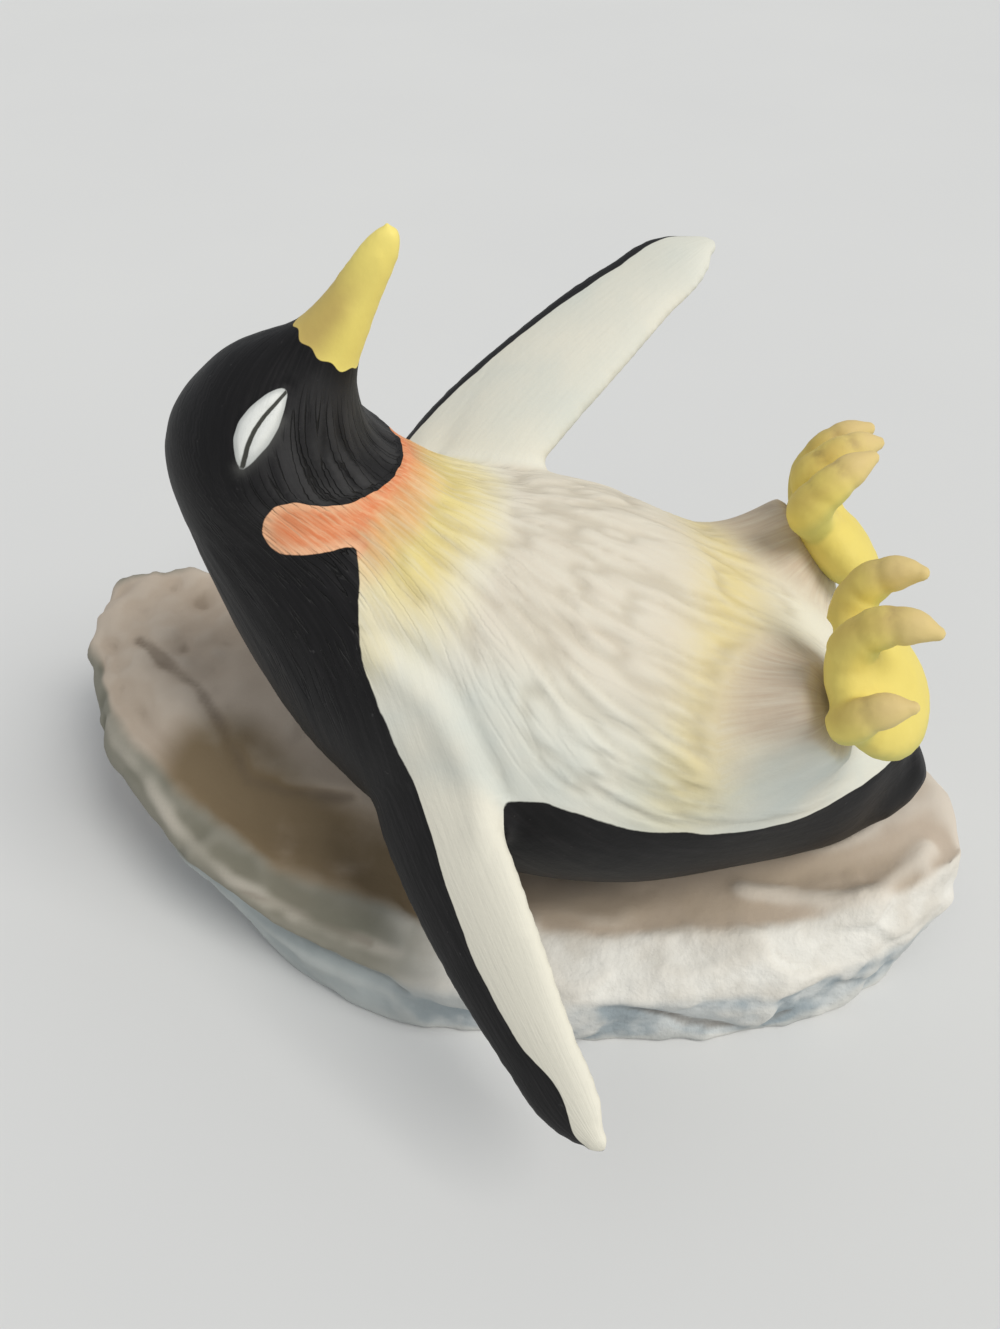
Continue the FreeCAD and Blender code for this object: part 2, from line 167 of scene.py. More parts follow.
# Degrees up a form's rounded end at which its rings stand
DOME = [0, 20, 42, 62, 78]


class Sweep:
    """A closed form along a smooth line. Each ring is a matrix and its reach along +X, -X, Y."""

    SAMPLES = 240
    BATCH = 20000

    def __init__(self, rings):
        places = np.array([m.translation[:] for m, _ in rings])
        knots = np.concatenate([[0], np.cumsum(np.linalg.norm(np.diff(places, axis=0), axis=1))])
        rows = np.array([[*m.translation[:], *m.col[0][:3], *m.col[1][:3], *reach]
                         for m, reach in rings])
        self.knots, self.length = knots, knots[-1]
        self.at = np.linspace(0, self.length, self.SAMPLES)
        table = smooth_rows(knots, rows, self.at)
        self.line = table[:, :3]
        self.along = unit(np.gradient(self.line, axis=0))
        front = table[:, 3:6]
        front = unit(front - (front * self.along).sum(1)[:, None] * self.along)
        self.front, self.side = front, unit(np.cross(self.along, front))
        self.reach = table[:, 9:12]

    def skin(self, sides=64, every=3, root=0.0, tip=0.0):
        """Points and faces of the form, its ends closed by a point each. The ends are domes that
        reach root and tip further."""
        angle = np.linspace(0, 2 * np.pi, sides, endpoint=False)
        c, s = np.cos(angle), np.sin(angle)
        middle = list(range(0, self.SAMPLES - 1, every))
        last = self.SAMPLES - 1
        rows = [0] * (len(DOME) - 1) + middle + [last] * len(DOME)
        turn = np.radians(DOME[:0:-1] + [0] * len(middle) + DOME)
        reach = np.where(np.arange(len(rows)) < len(rows) / 2, -root, tip)
        shrink, push = np.cos(turn)[:, None], (np.sin(turn) * reach)[:, None, None]
        front_reach = np.where(c > 0, self.reach[rows, :1], self.reach[rows, 1:2]) * shrink
        side_reach = self.reach[rows, 2:3] * shrink
        ring = (self.line[rows, None] + self.along[rows, None] * push
                + self.front[rows, None] * (front_reach * c)[..., None]
                + self.side[rows, None] * (side_reach * s)[..., None])
        return closed(ring, ring[0].mean(0), ring[-1].mean(0))

    def chart(self, points):
        """For each point: mm along the line, degrees round it from the front, and about how far
        outside the form it lies."""
        parts = []
        for start in range(0, len(points), self.BATCH):
            p = points[start:start + self.BATCH]
            near = ((p[:, None] - self.line[None, ::2]) ** 2).sum(2).argmin(1) * 2
            off = p - self.line[near]
            past = (off * self.along[near]).sum(1)
            s = self.at[near] + past
            x, y = (off * self.front[near]).sum(1), (off * self.side[near]).sum(1)
            reach_x = np.where(x > 0, self.reach[near, 0], self.reach[near, 1])
            share = np.hypot(x / reach_x, y / self.reach[near, 2])
            gap = np.hypot(x, y) * (1 - 1 / np.maximum(share, 1e-6))
            over = np.maximum(0, np.maximum(s - self.length, -s))
            parts.append((s, np.degrees(np.arctan2(y / self.reach[near, 2], x / reach_x)),
                          np.where(over > 0, np.hypot(over, np.maximum(gap, 0)), gap)))
        return [np.concatenate(part) for part in zip(*parts)]


# ---- skins

def placed(name, data):
    obj = bpy.data.objects.new(name, data)
    bpy.context.scene.collection.objects.link(obj)
    return obj


def mesh_object(name, points, faces):
    mesh = bpy.data.meshes.new(name)
    mesh.from_pydata([tuple(p) for p in points], [], [tuple(f) for f in faces])
    mesh.update()
    return placed(name, mesh)


def rows_of(items, key, width, kind=float):
    """One property of many items as an array with a row for each."""
    values = np.empty(len(items) * width, kind)
    items.foreach_get(key, values)
    return values.reshape(-1, width)


class Skin:
    """Points, faces and edges of one closed skin round several overlapping closed forms."""

    # How far one round of relaxing moves a point, and how far inwards a cap's hub stands
    STRIDE, CAP_DEPTH = 0.6, 0.02

    def __init__(self, forms, grain):
        points, faces, count = [], [], 0
        for p, f in forms:
            points.append(p)
            faces += [tuple(i + count for i in face) for face in f]
            count += len(p)
        self.marks = {}
        self.remade(np.vstack(points), faces, "REMESH", mode="VOXEL", voxel_size=grain,
                    adaptivity=0)

    def remade(self, points, faces, kind, **settings):
        """Take the points, faces and edges that a modifier makes of a mesh."""
        rough = mesh_object("rough", points, faces)
        modifier = rough.modifiers.new("skin", kind)
        for key, value in settings.items():
            setattr(modifier, key, value)
        graph = bpy.context.evaluated_depsgraph_get()
        self.mesh = bpy.data.meshes.new_from_object(rough.evaluated_get(graph))
        bpy.data.objects.remove(rough)
        self.points = rows_of(self.mesh.vertices, "co", 3)
        self.faces = [tuple(f.vertices) for f in self.mesh.polygons]
        self.edges = rows_of(self.mesh.edges, "vertices", 2, np.int32)

    def halved(self):
        """Split each face smoothly in four."""
        self.remade(self.points, self.faces, "SUBSURF", levels=1)

    def average(self, values):
        """Mean of each point's neighbours."""
        a, b = self.edges.T
        count = len(self.points)
        degree = np.bincount(a, minlength=count) + np.bincount(b, minlength=count)
        columns = []
        for v in values.T if values.ndim > 1 else [values]:
            total = np.bincount(a, v[b], count) + np.bincount(b, v[a], count)
            columns.append(total / np.maximum(degree, 1))
        return np.column_stack(columns) if values.ndim > 1 else columns[0]

    def relax(self, weight, rounds):
        """Soften the skin where weight is 1."""
        weight = weight[:, None]
        for _ in range(rounds):
            self.points += (self.average(self.points) - self.points) * weight * self.STRIDE

    def normals(self):
        self.mesh.vertices.foreach_set("co", self.points.ravel())
        self.mesh.update()
        return rows_of(self.mesh.vertex_normals, "vector", 3)

    def raised(self, height):
        self.points += self.normals() * height[:, None]

    def capped(self, faces):
        """Points and faces with each open rim of the faces closed by a fan that points inwards."""
        border = {}
        for face in faces:
            for a, b in zip(face, face[1:] + face[:1]):
                if not border.pop((b, a), False):
                    border[a, b] = True
        group = {}

        def root(i):
            while group.setdefault(i, i) != i:
                group[i] = group[group[i]]
                i = group[i]
            return i

        for a, b in border:
            group[root(a)] = root(b)
        rims = {}
        for a, b in border:
            rims.setdefault(root(a), []).append((a, b))
        inside = self.points[np.unique(np.concatenate(faces))].mean(0)
        points = self.points
        for rim in rims.values():
            middle = points[[a for a, _ in rim]].mean(0)
            faces = faces + [(b, a, len(points)) for a, b in rim]
            points = np.vstack([points, middle + (inside - middle) * self.CAP_DEPTH])
        return points, faces

    def piece(self, name, keep=None):
        """An object of the faces that keep marks, or of all, with the marks as attributes."""
        points, faces = self.points, self.faces
        if keep is not None:
            points, faces = self.capped([f for f, k in zip(faces, keep) if k])
        used = np.unique(np.concatenate(faces))
        number = np.full(len(points), -1)
        number[used] = np.arange(len(used))
        obj = mesh_object(name, points[used] * MM, [tuple(number[list(f)]) for f in faces])
        normals = np.zeros((len(points), 3))
        normals[:len(self.points)] = self.normals()
        for mark, values in self.marks.items():
            full = np.zeros((len(points),) + values.shape[1:])
            full[:len(values)] = values
            kind, key = ("FLOAT_VECTOR", "vector") if values.ndim > 1 else ("FLOAT", "value")
            attribute = obj.data.attributes.new(mark, kind, "POINT")
            attribute.data.foreach_set(key, full[used].astype(np.float32).ravel())
        obj.data.shade_smooth()
        wanted = normals[used]
        wanted[np.linalg.norm(wanted, axis=1) < 0.5] = (0, 0, 1)
        obj.data.normals_split_custom_set_from_vertices([tuple(n) for n in wanted])
        return obj


# ---- the bird's forms

SEAT_HEIGHT = 19
BELLY = dict(x=15, slope=12, radius=31.2, reach=(29, 31, 33))
# name, step along the spine, bend, reach to the front, to the back and to each side
FORWARD = [
    ("breast", 19.8, 10, 29.5, 32, 33),
    ("shoulder", 18.8, 19, 25.5, 26, 27),
    ("collar", 16.4, 15, 20.5, 19, 20),
    ("neck", 11.2, 17, 17.3, 16.2, 15.7),
    ("nape", 6.5, 24, 17.5, 15.8, 14.7),
    ("crown", 5.5, 20, 14.5, 12.4, 12.2),
    ("brow", 5.9, 8.5, 9, 8.6, 8.2),
    ("beak_root", 5.2, 0.5, 5.5, 5.2, 4.8),
    ("beak_bridge", 4.3, -0.5, 4.3, 4, 4),
    ("beak_middle", 6.4, -1, 2.9, 3.3, 3),
    ("beak_nail", 6.8, -3, 1.8, 2.6, 2),
    ("beak_tip", 1.4, -4, 1.4, 2, 1.5),
]
REARWARD = [
    ("hip", 18.3, 1.5, 24, 26.5, 28),
    ("loin", 12.2, 5.5, 18.5, 24, 22),
    ("rump", 9.1, 8.5, 12, 25, 15),
    ("rump_end", 6.1, 7, 5, 19, 8),
]
# A wing's half chord and half thickness at its root, then step, sweep, curl and the same two
WING_ROOT = (14.5, 4.5)
WING = [(16, -7, -2.5, 12, 4), (17, -8, -3, 11.5, 3.5), (17, -4, -1, 10.3, 3),
        (15, -3, -1, 8, 2.5), (10.5, -4, -2, 5.8, 2), (4.5, -5, -2, 2.4, 1.2)]
# step, bend, half width, half depth
TAIL = [(9, 0, 12, 10), (8, -14, 9, 8.8), (5, -10, 5, 6)]


def spine():
    """Rings of the body by name, each a matrix and its reach."""
    lift = SEAT_HEIGHT + BELLY["radius"] * math.cos(math.radians(BELLY["slope"]))
    belly = Matrix.Translation((BELLY["x"], 0, lift)) @ turned(0, BELLY["slope"] - 90, 0)
    rings = {"belly": (belly, BELLY["reach"])}
    for stations, way in ((FORWARD, 1), (REARWARD, -1)):
        place = belly
        for name, step, bend, front, back, side in stations:
            place = stepped(place, way * step, (0, way * bend, 0))
            rings[name] = (place, (front, back, side))
    return rings


BODY_ORDER = [r[0] for r in REARWARD[::-1]] + ["belly"] + [r[0] for r in FORWARD]


def wing_rings(start, side, lead, trail):
    """Rings of a wing that stands lead further forward, and is cut back by trail at its tip."""
    chord, thickness = WING_ROOT
    rings, place = [(start, (chord + lead, chord, thickness))], start
    for number, (step, sweep, curl, chord, thickness) in enumerate(WING, start=1):
        place = stepped(place, step, (0, sweep, side * curl))
        back = chord - trail * min(number / 4, chord / 6)
        rings.append((place, (chord + lead * min(1, chord / 6), back, thickness)))
    return rings


RINGS = spine()
SHOULDER, HIP, RUMP = (RINGS[n][0] for n in ("shoulder", "hip", "rump"))


def mount(carrier, place, turn):
    return carrier @ Matrix.Translation(place) @ turned(*turn)


NEAR_WING = Sweep(wing_rings(mount(SHOULDER, (3.8, -10.6, 3.5), (162, -15.5, -127.5)), 1, 0, 1.2))
FAR_WING = Sweep(wing_rings(mount(SHOULDER, (-0.5, 7.9, 1.9), (145, -37, 86.5)), -1, 2.0, 0))
BODY = Sweep([RINGS[name] for name in BODY_ORDER])
THIGH = mount(HIP, (4.2, -13, 7.7), (-19, 128, 0))
SHIN = stepped(THIGH, 12, (0, 0, 0))
ANKLE = stepped(SHIN, 13.3, (0, 0, 0))
FLIP = Matrix.Diagonal((1, -1, 1, 1))


def across(ring):
    """A ring mirrored to the bird's left, still a turn without a flip."""
    return FLIP @ ring @ FLIP


def leg(flip, shin, ankle, shift):
    """A leg whose ankle stands shift away from the near leg's place, across and along it."""
    low, middle = Matrix.Translation(shift), Matrix.Translation(Vector(shift) / 2)
    rings = ((THIGH, 14), (SHIN @ middle, shin), (ANKLE @ low, ankle))
    return Sweep([(across(m) if flip else m, (radius,) * 3) for m, radius in rings])


NEAR_LEG, FAR_LEG = leg(False, 12, 9.4, (0, 0, 0)), leg(True, 12.6, 10.7, (1.2, 0, 0.6))


def tail():
    place = mount(RUMP, (-12.5, 0, 10), (0, 172, 0)) @ turned(90, 0, 0)
    rings = [(place, (14, 14, 10))]
    for step, bend, width, depth in TAIL:
        place = stepped(place, step, (0, 0, bend))
        rings.append((place, (width, width, depth)))
    return Sweep(rings)


TAIL_FORM = tail()

# ---- bird skin

FORMS = dict(body=BODY, near_wing=NEAR_WING, far_wing=FAR_WING, near_leg=NEAR_LEG,
             far_leg=FAR_LEG, tail=TAIL_FORM)
LIMBS = [name for name in FORMS if name != "body"]
# How far each form's ends are rounded past its first and last ring
ENDS = dict(body=(3, 1.1), near_wing=(20, 1.7), far_wing=(14, 1.7), near_leg=(9, 0),
            far_leg=(9, 0), tail=(4, 1.5))
FILLETS = dict(near_wing=4, far_wing=4, near_leg=15, far_leg=15, tail=4)
GRAIN = 1.1


def seam_weight(gaps):
    """How much each point is softened: broad fillets at the legs, tight ones elsewhere."""
    weight = np.zeros(len(gaps["body"]))
    for name, reach in FILLETS.items():
        seam = np.maximum(np.abs(gaps[name]), np.abs(gaps["body"]))
        weight = np.maximum(weight, ramp(seam, reach, reach * 0.3))
    return weight


def blended():
    """One skin round the bird's forms, filleted while it is coarse and then made fine."""
    skin = Skin([form.skin(root=ENDS[name][0], tip=ENDS[name][1]) for name, form in FORMS.items()],
                GRAIN)
    gaps = {name: form.chart(skin.points)[2] for name, form in FORMS.items()}
    nowhere = gaps["body"] + FAR
    legs = dict(gaps, near_wing=nowhere, far_wing=nowhere, tail=nowhere)
    skin.relax(np.ones(len(skin.points)), 2)
    skin.relax(seam_weight(gaps), 16)
    skin.relax(seam_weight(legs), 110)
    skin.halved()
    return skin


bird = blended()
CHARTS = {name: form.chart(bird.points) for name, form in FORMS.items()}
GAPS = {name: chart[2] for name, chart in CHARTS.items()}
ALONG, ANGLE, _ = CHARTS["body"]
ROUND = np.abs(ANGLE)
NEAR_SIDE = ANGLE < 0
NORMALS = bird.normals()
NECK_AT = BODY.knots[BODY_ORDER.index("neck")]
BILL_AT = BODY.knots[BODY_ORDER.index("beak_root")]
ON_TRUNK = np.maximum(ramp(ALONG, NECK_AT + 1, NECK_AT - 1), ramp(GAPS["body"], 4, 7))


def share(name, soft):
    """1 on a limb, 0 on its neighbours, smooth between."""
    others = np.min([gap for other, gap in GAPS.items() if other != name], axis=0)
    return ramp(others - GAPS[name], -soft, soft) * ON_TRUNK


WHOSE = np.where(ALONG > BILL_AT + 1, 2, np.where(ALONG > NECK_AT, 1, 0))
for number, name in enumerate(LIMBS, start=3):
    WHOSE[share(name, 0.5) > 0.5] = number
PIECES = ["torso", "head", "beak", "right_wing", "left_wing", "right_leg", "left_leg", "tail"]
TORSO, HEAD, BILL = (WHOSE == 0), (WHOSE == 1), (WHOSE == 2)
WINGS = share("near_wing", 2) + share("far_wing", 2)
LEGS = share("near_leg", 5) + share("far_leg", 5)

# Limits of the paint: mm along the spine, degrees round from the breast's middle. The light
# breast runs from the throat, with a lobe behind each cheek, down to the flanks.
THROAT = [(113.2, -20), (113.2, 24), (114.2, 38), (114.8, 49), (117, 61), (118.4, 72),
          (117.8, 81), (115.6, 86.5), (113.6, 89), (111.6, 88), (110, 84), (109, 76),
          (107.7, 65), (106.6, 57), (105.4, 52.5), (101.6, 60)]
NEAR_ROOT = [(98.2, 67), (94.7, 73.3), (92, 77), (89.7, 80), (86.5, 84), (84.4, 86), (81.9, 89),
             (79.5, 92), (77.2, 94.6), (75, 97), (70, 93), (66.5, 84)]
FAR_ROOT = [(97, 66), (90, 71), (80, 74), (70, 76)]
FLANK = [(59, 78.5), (53, 80), (46.6, 83), (34, 85), (26, 86), (19, 85.5), (9, 82), (2, 79),
         (-6, 70), (-6, -20)]
LID = [(121, 99.5), (122.6, 106), (123.9, 111.3), (125.6, 114.8), (127.4, 115),
       (129.4, 112.5), (131, 107), (131.3, 98.5), (129.4, 92.8), (127.4, 89.8),
       (125.3, 90.5), (123, 94.5)]
SLIT = [(121, 99.5), (122.8, 100.2), (124.4, 101.6), (126, 102.6), (127.7, 102.4), (129.3, 101),
        (132, 99)]
LID_EDGE = [(121.5, 100), (124.5, 92.5), (128, 90)]
# Where the wing's rear edge lies folded on the breast
CREASE = [(95.5, 72), (92.8, 68), (90, 66.4), (87.3, 65.8), (84.5, 65.3), (81, 65.5),
          (77.3, 67.8), (73.3, 72), (69.5, 77), (66, 82)]
# The gold at the wing's top, already in mm
WING_TOP = [(97, 20), (92, 22)]
# Wing: side of its light face, and its paint border as a share of the half chord
WING_PAINT = dict(
    near_wing=(-1, [0, 14, 31, 48, 63, 73, 78, 82],
               [-0.12, -0.13, -0.10, 0.10, 0.09, -0.14, 0.4, 0.9]),
    far_wing=(1, [0, 28, 38, 50, 76, 80], [0.80, 0.80, 0.75, 0.70, 0.74, 0.85]))
# Where along the body the bill's paint starts and the throat's ends
BILL_PAINT, THROAT_END = 136.2, 113.6
# mm that a degree round the body is taken for, on the trunk and at the eye
ROUND_MM, EYE_MM = 0.30, 0.19


def on_chart(scale):
    return np.column_stack([ALONG, ROUND * scale])


def chart_outline(outline, scale):
    return outline_depth(on_chart(scale), np.multiply(outline, (1, scale)))


def chart_line(line, scale):
    return path_gap(on_chart(scale), np.multiply(line, (1, scale)))


def wobble(scale, seed):
    return noise(bird.points / scale, seed)


def wing_dark(name):
    """Depth into the dark paint of a wing: its back, and its light face ahead of the border."""
    face, knots, limits = WING_PAINT[name]
    along, angle, _ = CHARTS[name]
    turn = np.radians(angle)
    across, up = np.cos(turn), np.sin(turn) * face
    form = FORMS[name]
    half = np.interp(along, form.knots, [WING_ROOT[0]] + [w[3] for w in WING])
    thick = np.interp(along, form.knots, [WING_ROOT[1]] + [w[4] for w in WING])
    limit = smooth_rows(knots, limits, along)
    from_edge = (1 + across) * half + np.abs(up) * thick
    over_edge = np.where(up > 0, -from_edge, from_edge) - 1.6
    border = (across - limit) * half + 0.2 * wobble(4, 7)
    return np.maximum(over_edge, border)


def softened(skin, values, rounds):
    """Values on a skin, evened out with their neighbours."""
    for _ in range(rounds):
        values = values + (skin.average(values) - values) * 0.7
    return values


def paint():
    """Marks that the paint reads, in mm into a painted area or as a share."""
    m = {}
    light = np.where(NEAR_SIDE, chart_outline(THROAT + NEAR_ROOT + FLANK, ROUND_MM),
                     chart_outline(THROAT + FAR_ROOT + FLANK, ROUND_MM))
    dark = 0.2 * wobble(3.5, 6) - light
    for name in WING_PAINT:
        dark += (wing_dark(name) - dark) * share(name, 1.5)
    dark += (4 - dark) * share("tail", 1)
    dark += (-4 - dark) * (share("near_leg", 2) + share("far_leg", 2))
    m["dark"] = softened(bird, dark, 2)
    bare = 1 - WINGS
    scallop = 0.3 * np.sin(np.radians(ANGLE) * 9) + 0.3 * wobble(2.5, 5)
    m["bill"] = np.where(HEAD | BILL, ALONG - (BILL_PAINT + scallop), -5)
    m["lid"] = softened(bird, chart_outline(LID, EYE_MM), 3)
    middle = np.interp(ALONG, [a for a, _ in SLIT], [r for _, r in SLIT])
    m["slit"] = np.where(ROUND > middle, 1, -1) * chart_line(SLIT, EYE_MM)
    m["smudge"] = bell(chart_line(LID_EDGE, EYE_MM), 0.8)
    below = THROAT_END - ALONG
    lobe = ramp(ROUND, 44, 50) * ramp(ALONG, 103, 105)
    throat_orange = ramp(below + 3 * wobble(5, 8), 17, 4) * ramp(ROUND, 75, 45)
    m["orange"] = np.maximum(lobe, throat_orange) * (WHOSE < 2)
    m["rim"] = ramp(-dark, 2.2, 0.4) * lobe * (WHOSE < 2)
    throat = ramp(below + 3 * wobble(7, 9), 33, 14) * ramp(ROUND, 82, 40)
    wing_top = bell(path_gap(on_chart(ROUND_MM), WING_TOP), 3.5) * 0.4
    loin = bell(ALONG - 35 - 0.03 * ROUND, 7.5) * ramp(ROUND, 100, 58)
    m["gold"] = np.clip(np.maximum(throat, wing_top) + 0.75 * loin * (1 - 0.6 * LEGS), 0, 1) * bare
    tan = ramp(ROUND + 8 * wobble(9, 12), 66, 30) * ramp(ALONG, 90, 80) * ramp(ALONG, 20, 34)
    leg_tan = ramp(NORMALS[:, 2] + 0.12 * wobble(4, 13), 0.1, 0.75)
    m["tan"] = tan * bare * (1 - LEGS)
    m["rust"] = LEGS * leg_tan
    # Painted shade: a bluish grey on the lower flanks, on the legs' undersides and on the far
    # wing's outer part
    flank = ramp(ROUND, 40, 68) * ramp(ALONG, 98, 84) * (1 - LEGS)
    m["cool"] = np.clip(flank + LEGS * ramp(NORMALS[:, 2], 0.5, 0.1), 0, 1) * bare
    m["cool"] += share("far_wing", 2) * ramp(CHARTS["far_wing"][0], 12, 40) * 0.6
    olive = ramp(ROUND, 62, 120) * ramp(ALONG, 150, 142) + ramp(ALONG, 157, 160)
    m["horn"] = np.clip(olive, 0, 1)
    m["combed"] = ramp(ROUND, 179, 170) * ramp(m["bill"], 0.5, -0.5)
    m["sheen"] = HEAD * ramp(ALONG, 112, 118) * ramp(ALONG, 137, 130) * ramp(ROUND, 100, 78)
    return m


# How many times wider the strands of feathers are than at the throat
SPREAD = smooth_rows([-5, 20, 38, 60, 90, 106, 126, 150], [3, 3, 2.86, 2.26, 1.33, 1, 1, 1], ALONG)


def strands(along, across, length, width, seed):
    """Noise drawn out along the feathers, split where they spread."""
    level = np.log2(SPREAD) * TORSO
    whole = np.floor(level)
    part = ramp(level - whole, 0, 1)
    layers = [layered(np.column_stack([along / length, across * 2 ** (whole + k) / width]), seed, 2)
              for k in range(2)]
    return ((1 - part) * layers[0] + part * layers[1]) / np.hypot(part, 1 - part)


def flow_lines(name):
    """Along and across the lie of the feathers on a form, in mm."""
    along, angle, _ = CHARTS[name]
    turn = np.radians(angle)
    if name == "body":
        radius = smooth_rows([-5, 60, 95, 110, 120, 130, 150], [30, 30, 27, 20, 15, 11, 5], along)
        return along, -turn * radius / SPREAD
    return along, np.radians(angle % 360 - 180) * 12 if "leg" in name else np.cos(turn) * 11


def feathers():
    """Height of the plumage's combed grooves in mm, and how deep in one each point is."""
    flow, joint = flow_lines("body"), 1
    for name in LIMBS:
        flow = np.where(share(name, 0.5) > 0.5, flow_lines(name), flow)
        joint = joint * ramp(np.abs(share(name, 4) - 0.5), 0.05, 0.45)
    along, across = flow
    bent = across + 0.9 * wobble(11, 21) / SPREAD
    n = strands(along, bent, 15, 2.1, 31)
    fine = strands(along, bent, 11, 1.9, 35)
    groove, hair = bell(n, 0.26), bell(fine, 0.35)
    legs = (WHOSE == 5) | (WHOSE == 6)
    light = ramp(MARKS["dark"], 0.3, -1.5)
    lobe = HEAD * light
    chest = TORSO * light * ramp(ALONG, 4, 24) * ramp(ALONG, 112, 106)
    chest = chest * joint * (1 - ramp(behind_crease(), -2.5, 0))
    cheek = HEAD * ramp(MARKS["lid"], -0.3, -2) * ramp(ALONG, 134, 129) * (1 - light)
    height = chest * (0.2 * n - 0.48 * groove)
    height += cheek * ramp(ROUND, 128, 98) * (0.10 * fine - 0.30 * hair)
    height += TORSO * (1 - light) * ramp(ALONG, 70, 88) * -0.2 * groove
    height += joint * legs * (0.10 * n - 0.16 * groove)
    height += lobe * -0.09 * hair
    # Grooves of the black plumage and the cheeks: darker paint in them, and painted shade
    MARKS["strand"] = cheek * hair + TORSO * (1 - light) * 0.6 * groove
    nape = (HEAD | TORSO) * (1 - light) * ramp(ROUND, 130, 100)
    nape = nape * ramp(ALONG, 84, 96) * ramp(ALONG, 122, 112)
    crisp = cheek * ramp(ROUND, 105, 80) + nape + 0.25 * lobe + 0.35 * chest
    MARKS["crisp"] = np.clip(crisp, 0, 1)
    return height, groove * (chest + 0.2 * legs) + 0.5 * lobe * hair


def behind_crease():
    """How far behind the wing's folded rear edge each point lies, in mm; far from it, very far."""
    centre = np.interp(ALONG, [a for a, _ in CREASE[::-1]], [r for _, r in CREASE[::-1]])
    gap = chart_line(CREASE, ROUND_MM)
    beside = (ALONG > CREASE[-1][0] - 2) & (ALONG < CREASE[0][0] + 3)
    return np.where(ROUND > centre, gap, -gap) * beside - FAR * ~beside


def wing_fold():
    """The wing's rear edge stands a little proud of the breast, behind a soft valley."""
    behind = behind_crease()
    here = ramp(ALONG, 97, 91) * ramp(ALONG, 62, 68) * (TORSO | (WHOSE == 3) | (WHOSE == 4))
    return (0.85 * bell(behind - 1.6, 1.7) - 0.5 * bell(behind + 0.9, 1.2)) * here


def eyelids():
    """Two swollen lids parted by a slit, sunk at their rim."""
    lid, slit = MARKS["lid"], np.abs(MARKS["slit"])
    lids = 0.55 * ramp(lid, -0.2, 1.5) - 0.2 * bell(lid + 0.5, 0.5)
    return (lids - 0.5 * ramp(slit, 0.6, 0.1) * (lid > 0)) * HEAD


MARKS = paint()
FEATHER_HEIGHT, GROOVE = feathers()
bird.raised(softened(bird, FEATHER_HEIGHT, 2) + wing_fold() + eyelids())
# Grooves of the light plumage: darker paint in them, and painted shade
MARKS["comb"] = softened(bird, GROOVE, 1) * (MARKS["dark"] < 0)
bird.marks = MARKS

# ---- feet

def ball(place, radii, sides=40, rows=20):
    """A closed ellipsoid at a matrix."""
    down = np.pi * np.arange(rows - 1, 0, -1)[:, None] / rows
    turn = 2 * np.pi * np.arange(sides) / sides
    rings = np.stack(np.broadcast_arrays(np.sin(down) * np.cos(turn), np.sin(down) * np.sin(turn),
                                         np.cos(down)), axis=-1)
    points, faces = closed(rings * radii, (0, 0, -radii[2]), (0, 0, radii[2]))
    return np.array([(place @ Vector(p))[:] for p in points]), faces


SOLE = mount(ANKLE, (0, 1, 4), (-25, -5, 0))
# A toe's radius at its root and inside the sole, then step, bend and radius
TOE_ROOT, TOE_INSIDE = 3.5, 3.2
TOE = [(6, 30, 3.4), (4.5, 28, 3), (4, 22, 2.4), (3, 10, 1.1)]
# mm before a toe's tip at which its knuckles are drawn in
KNUCKLES = (9, 5)
FOOT_GRAIN = 0.4
# Each foot's sole, its radii, and where its toes stand, whether they start inside the sole and
# how long they are; the far foot is built as a near one, then mirrored
FEET = dict(
    right=((0, 1.2, 1.2), (10.2, 10.8, 5.2), (
        ((-8.3, 6.2, 0.5), (-25, -60, 0), False, 0.81),
        ((-8.1, -1.9, 1.8), (-5, -42, 0), False, 0.81),
        ((0.2, -8.2, -2.2), (25, -60, 0), True, 0.78))),
    left=((0.1, 2.2, -1), (9, 10.8, 4.8), (
        ((-10, 4.8, -3.6), (-25, -60, 0), True, 1),
        ((-8.1, -1.2, -1.8), (-5, -42, 0), True, 1),
        ((0.3, -7.4, -0.9), (25, -60, 0), False, 1))))


def toe(middle, place, turn, inside, size):
    place = mount(SOLE, place, turn)
    rings = [(place, (TOE_ROOT,) * 3)]
    for step, bend, radius in TOE:
        place = stepped(place, step * size, (0, bend, 0))
        rings.append((place, (radius * (1 + size) / 2,) * 3))
    if inside:
        start = rings[1][0].copy()
        sole = (SOLE @ Matrix.Translation(middle)).translation
        start.translation = start.translation.lerp(sole, 0.7)
        rings[0] = (start, (TOE_INSIDE,) * 3)
    return Sweep(rings)


